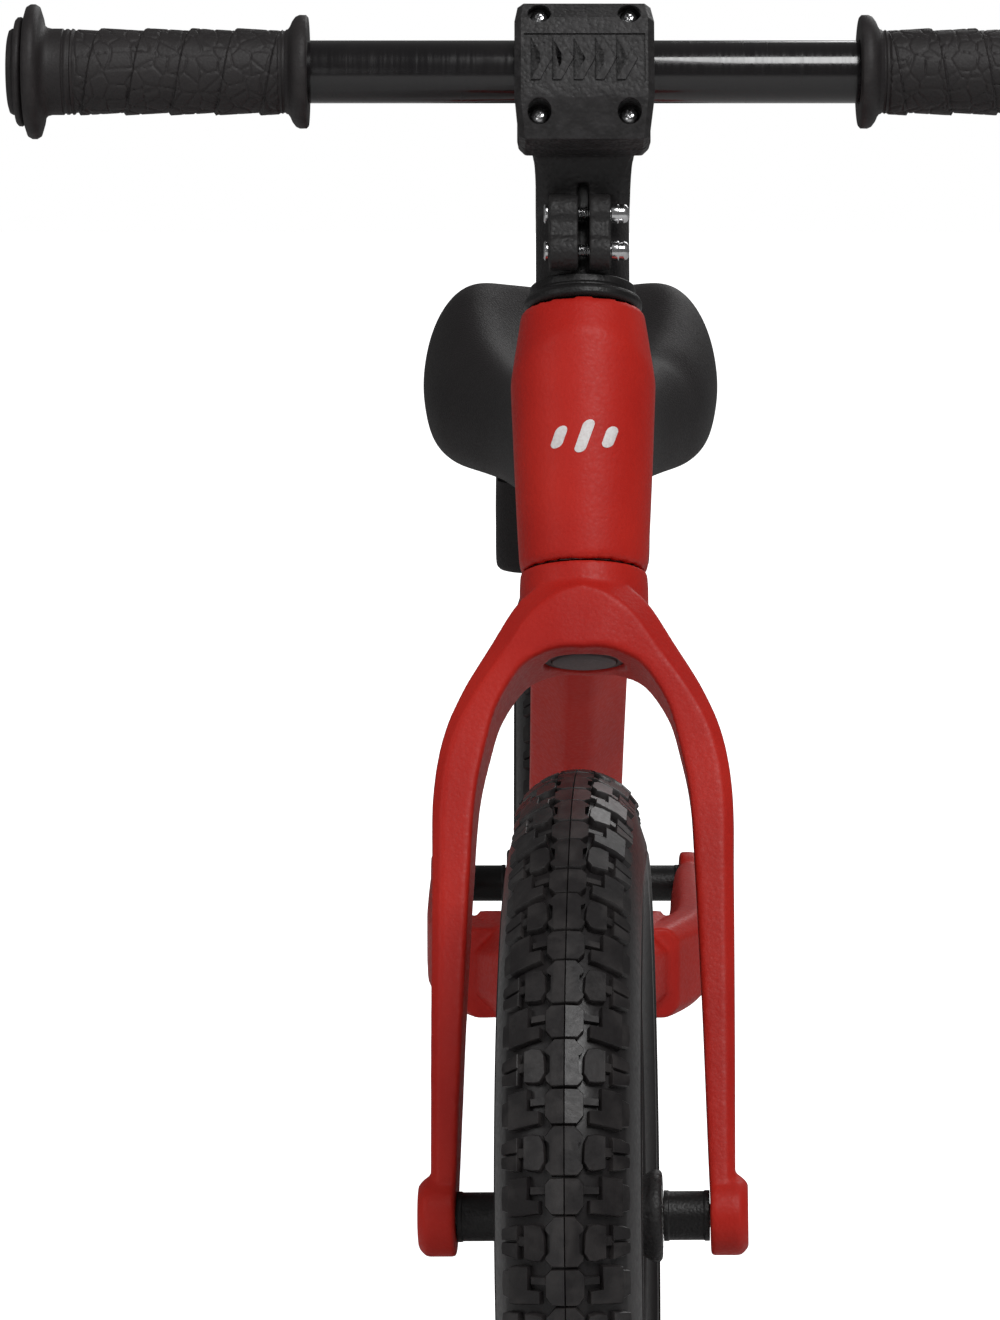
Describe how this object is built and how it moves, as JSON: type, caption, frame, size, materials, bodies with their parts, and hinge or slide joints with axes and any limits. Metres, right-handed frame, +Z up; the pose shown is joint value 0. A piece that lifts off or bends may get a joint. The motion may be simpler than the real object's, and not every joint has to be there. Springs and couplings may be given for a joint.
{
  "type": "balance bike",
  "caption": "Child's pedal-less balance bike: cast frame and fork, split-neck stem with straight bar and grips, padded saddle and two knobbly wheels that spin.",
  "frame": {"origin": "on the ground, midway between the two axles", "axes": "+Z up, -Y forward in the direction of travel, +Y to the rear, +X to the right of someone standing in front and facing the bike"},
  "size_m": [0.412, 0.8634, 0.5592],
  "materials": {
    "red_coat": "satin powder coat",
    "black_plastic": "fine-grained matte",
    "tyre_rubber": "matte",
    "grip_rubber": "matte, crackle relief",
    "saddle_skin": "soft matte",
    "black_gloss": "gloss",
    "chrome": "polished",
    "steel": "zinc plated"
  },
  "bodies": {
    "frame": {"frame": "red_coat", "headset_bearing_lower": "steel", "headset_bearing_upper": "steel", "seat_clamp": "black_plastic", "seat_clamp_bolt": "steel", "seat_clamp_nut": "steel", "axle_rear": "steel", "sleeve_rear": "steel", "spacer_rear_left": "black_plastic", "spacer_rear_right": "black_plastic", "axle_bolt_rear_left": "steel", "axle_bolt_rear_right": "steel"},
    "fork": {"fork": "red_coat", "steerer_tube": "steel", "steerer_plug": "black_plastic", "headset_collar": "black_plastic", "axle_front": "steel", "sleeve_front": "steel", "spacer_front_left": "black_plastic", "spacer_front_right": "black_plastic", "axle_bolt_front_left": "steel", "axle_bolt_front_right": "steel"},
    "stem": {"stem": "black_plastic", "stem_face_plate": "black_plastic", "face_screw_1": "chrome", "face_screw_2": "chrome", "face_screw_3": "chrome", "face_screw_4": "chrome", "pinch_bolt_1": "chrome", "pinch_bolt_2": "chrome", "dome_nut_1": "chrome", "dome_nut_2": "chrome", "stem_top_cap": "black_plastic", "top_cap_bolt": "steel"},
    "handlebar": {"handlebar": "black_gloss", "grip_left": "grip_rubber", "grip_right": "grip_rubber"},
    "front_wheel": {"wheel_front": "black_plastic", "tyre_front": "tyre_rubber", "inner_tube_front": "tyre_rubber", "valve_front": "black_gloss", "bearing_front_left": "steel", "bearing_front_right": "steel"},
    "rear_wheel": {"wheel_rear": "black_plastic", "tyre_rear": "tyre_rubber", "inner_tube_rear": "tyre_rubber", "valve_rear": "black_gloss", "bearing_rear_left": "steel", "bearing_rear_right": "steel"},
    "saddle": {"seat_post": "black_gloss", "saddle_base": "black_plastic", "saddle_cushion": "saddle_skin", "saddle_clamp_screw": "steel"}
  },
  "joints": [
    {"name": "steering", "type": "hinge", "parent": "frame", "child": "fork", "pos_m": [0, -0.2539, 0.1417], "axis": [0, 0.3665, 0.9304], "range_deg": [-41.7, 48.3]},
    {"name": "stem_twist", "type": "hinge", "parent": "fork", "child": "stem", "pos_m": [0, -0.2539, 0.1417], "axis": [0, 0.3665, 0.9304], "range_deg": [-15, 15]},
    {"name": "bar_roll", "type": "hinge", "parent": "stem", "child": "handlebar", "pos_m": [0, -0.13675, 0.5346], "axis": [1, 0, 0], "range_deg": [-30, 30]},
    {"name": "front_wheel_spin", "type": "hinge", "parent": "fork", "child": "front_wheel", "pos_m": [-0.00161, -0.27991, 0.15194], "axis": [0.9983, -0.0536, 0.0211], "continuous": true},
    {"name": "rear_wheel_spin", "type": "hinge", "parent": "frame", "child": "rear_wheel", "pos_m": [0, 0.28, 0.152], "axis": [1, 0, 0], "continuous": true},
    {"name": "seat_height", "type": "slide", "parent": "frame", "child": "saddle", "axis": [0, 0.2419, 0.9703], "range_m": [0, 0.07]}
  ]
}
